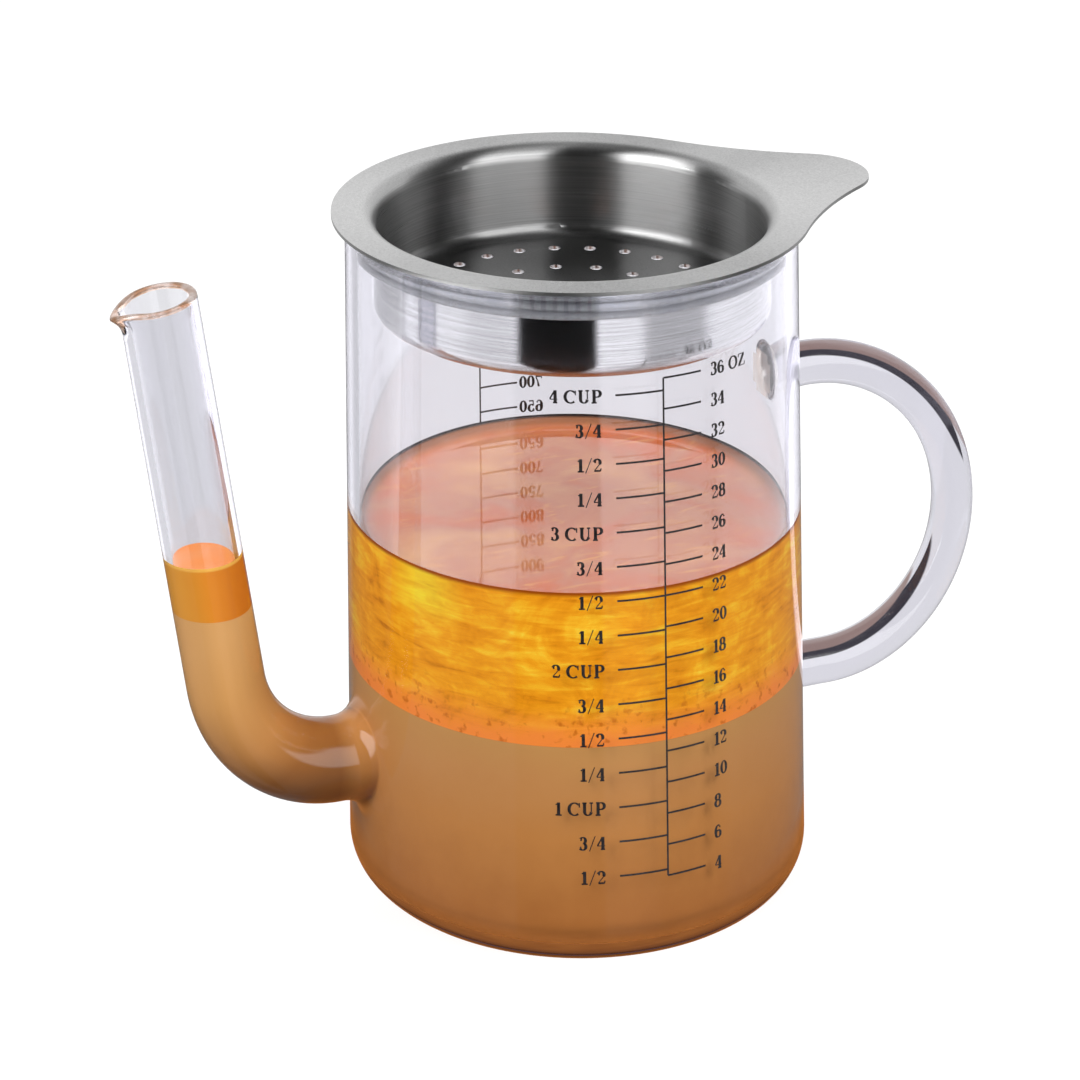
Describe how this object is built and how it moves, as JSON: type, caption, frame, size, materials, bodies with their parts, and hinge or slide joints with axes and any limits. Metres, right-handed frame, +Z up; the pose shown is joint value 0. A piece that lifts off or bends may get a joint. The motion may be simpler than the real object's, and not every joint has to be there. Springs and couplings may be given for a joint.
{
  "type": "gravy fat separator",
  "caption": "Cylindrical glass jug with a low side spout and a rod handle, with a perforated steel strainer and a silicone seal in its mouth.",
  "frame": {"origin": "centre of the jug's foot, on the face it stands on", "axes": "+Z up along the jug's axis, +X towards the handle, -X towards the spout"},
  "size_m": [0.2178, 0.1134, 0.1514],
  "materials": {
    "clear_glass": "clear flame-worked borosilicate glass",
    "brushed_steel": "brushed cup, fine satin flange",
    "clear_silicone": "translucent matt silicone"
  },
  "bodies": {
    "jug": {"jug_vessel": "clear_glass", "spout_tube": "clear_glass", "handle_rod": "clear_glass"},
    "strainer_set": {"strainer": "brushed_steel", "seal_ring": "clear_silicone"}
  },
  "joints": [
    {"name": "strainer_lift", "type": "slide", "parent": "jug", "child": "strainer_set", "axis": [0, 0, 1], "range_m": [0, 0.05]}
  ]
}
